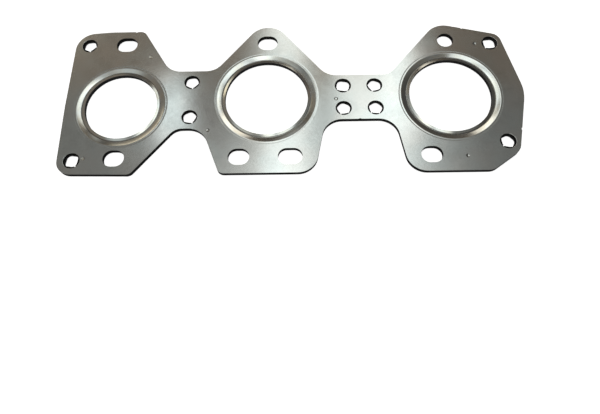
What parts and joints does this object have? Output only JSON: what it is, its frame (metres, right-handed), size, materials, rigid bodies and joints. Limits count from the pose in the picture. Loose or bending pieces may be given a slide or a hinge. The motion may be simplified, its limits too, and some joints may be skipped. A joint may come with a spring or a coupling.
{
  "type": "exhaust manifold gasket",
  "caption": "Layered steel exhaust manifold gasket with beaded ports, slotted stud holes and pierced petal ties, coated on the back.",
  "frame": {"origin": "centre of the middle port on the back (coated) face", "axes": "+X along the gasket from the middle port to the right port, +Y to the edge with the single-slot ear, +Z out of the embossed front face"},
  "size_m": [0.253, 0.0926, 0.0027],
  "materials": {
    "front_steel": "satin",
    "middle_steel": "satin",
    "back_coating": "matte"
  },
  "bodies": {
    "root": {"front_sheet": "front_steel", "middle_sheet": "middle_steel", "back_sheet": "back_coating"}
  },
  "joints": []
}
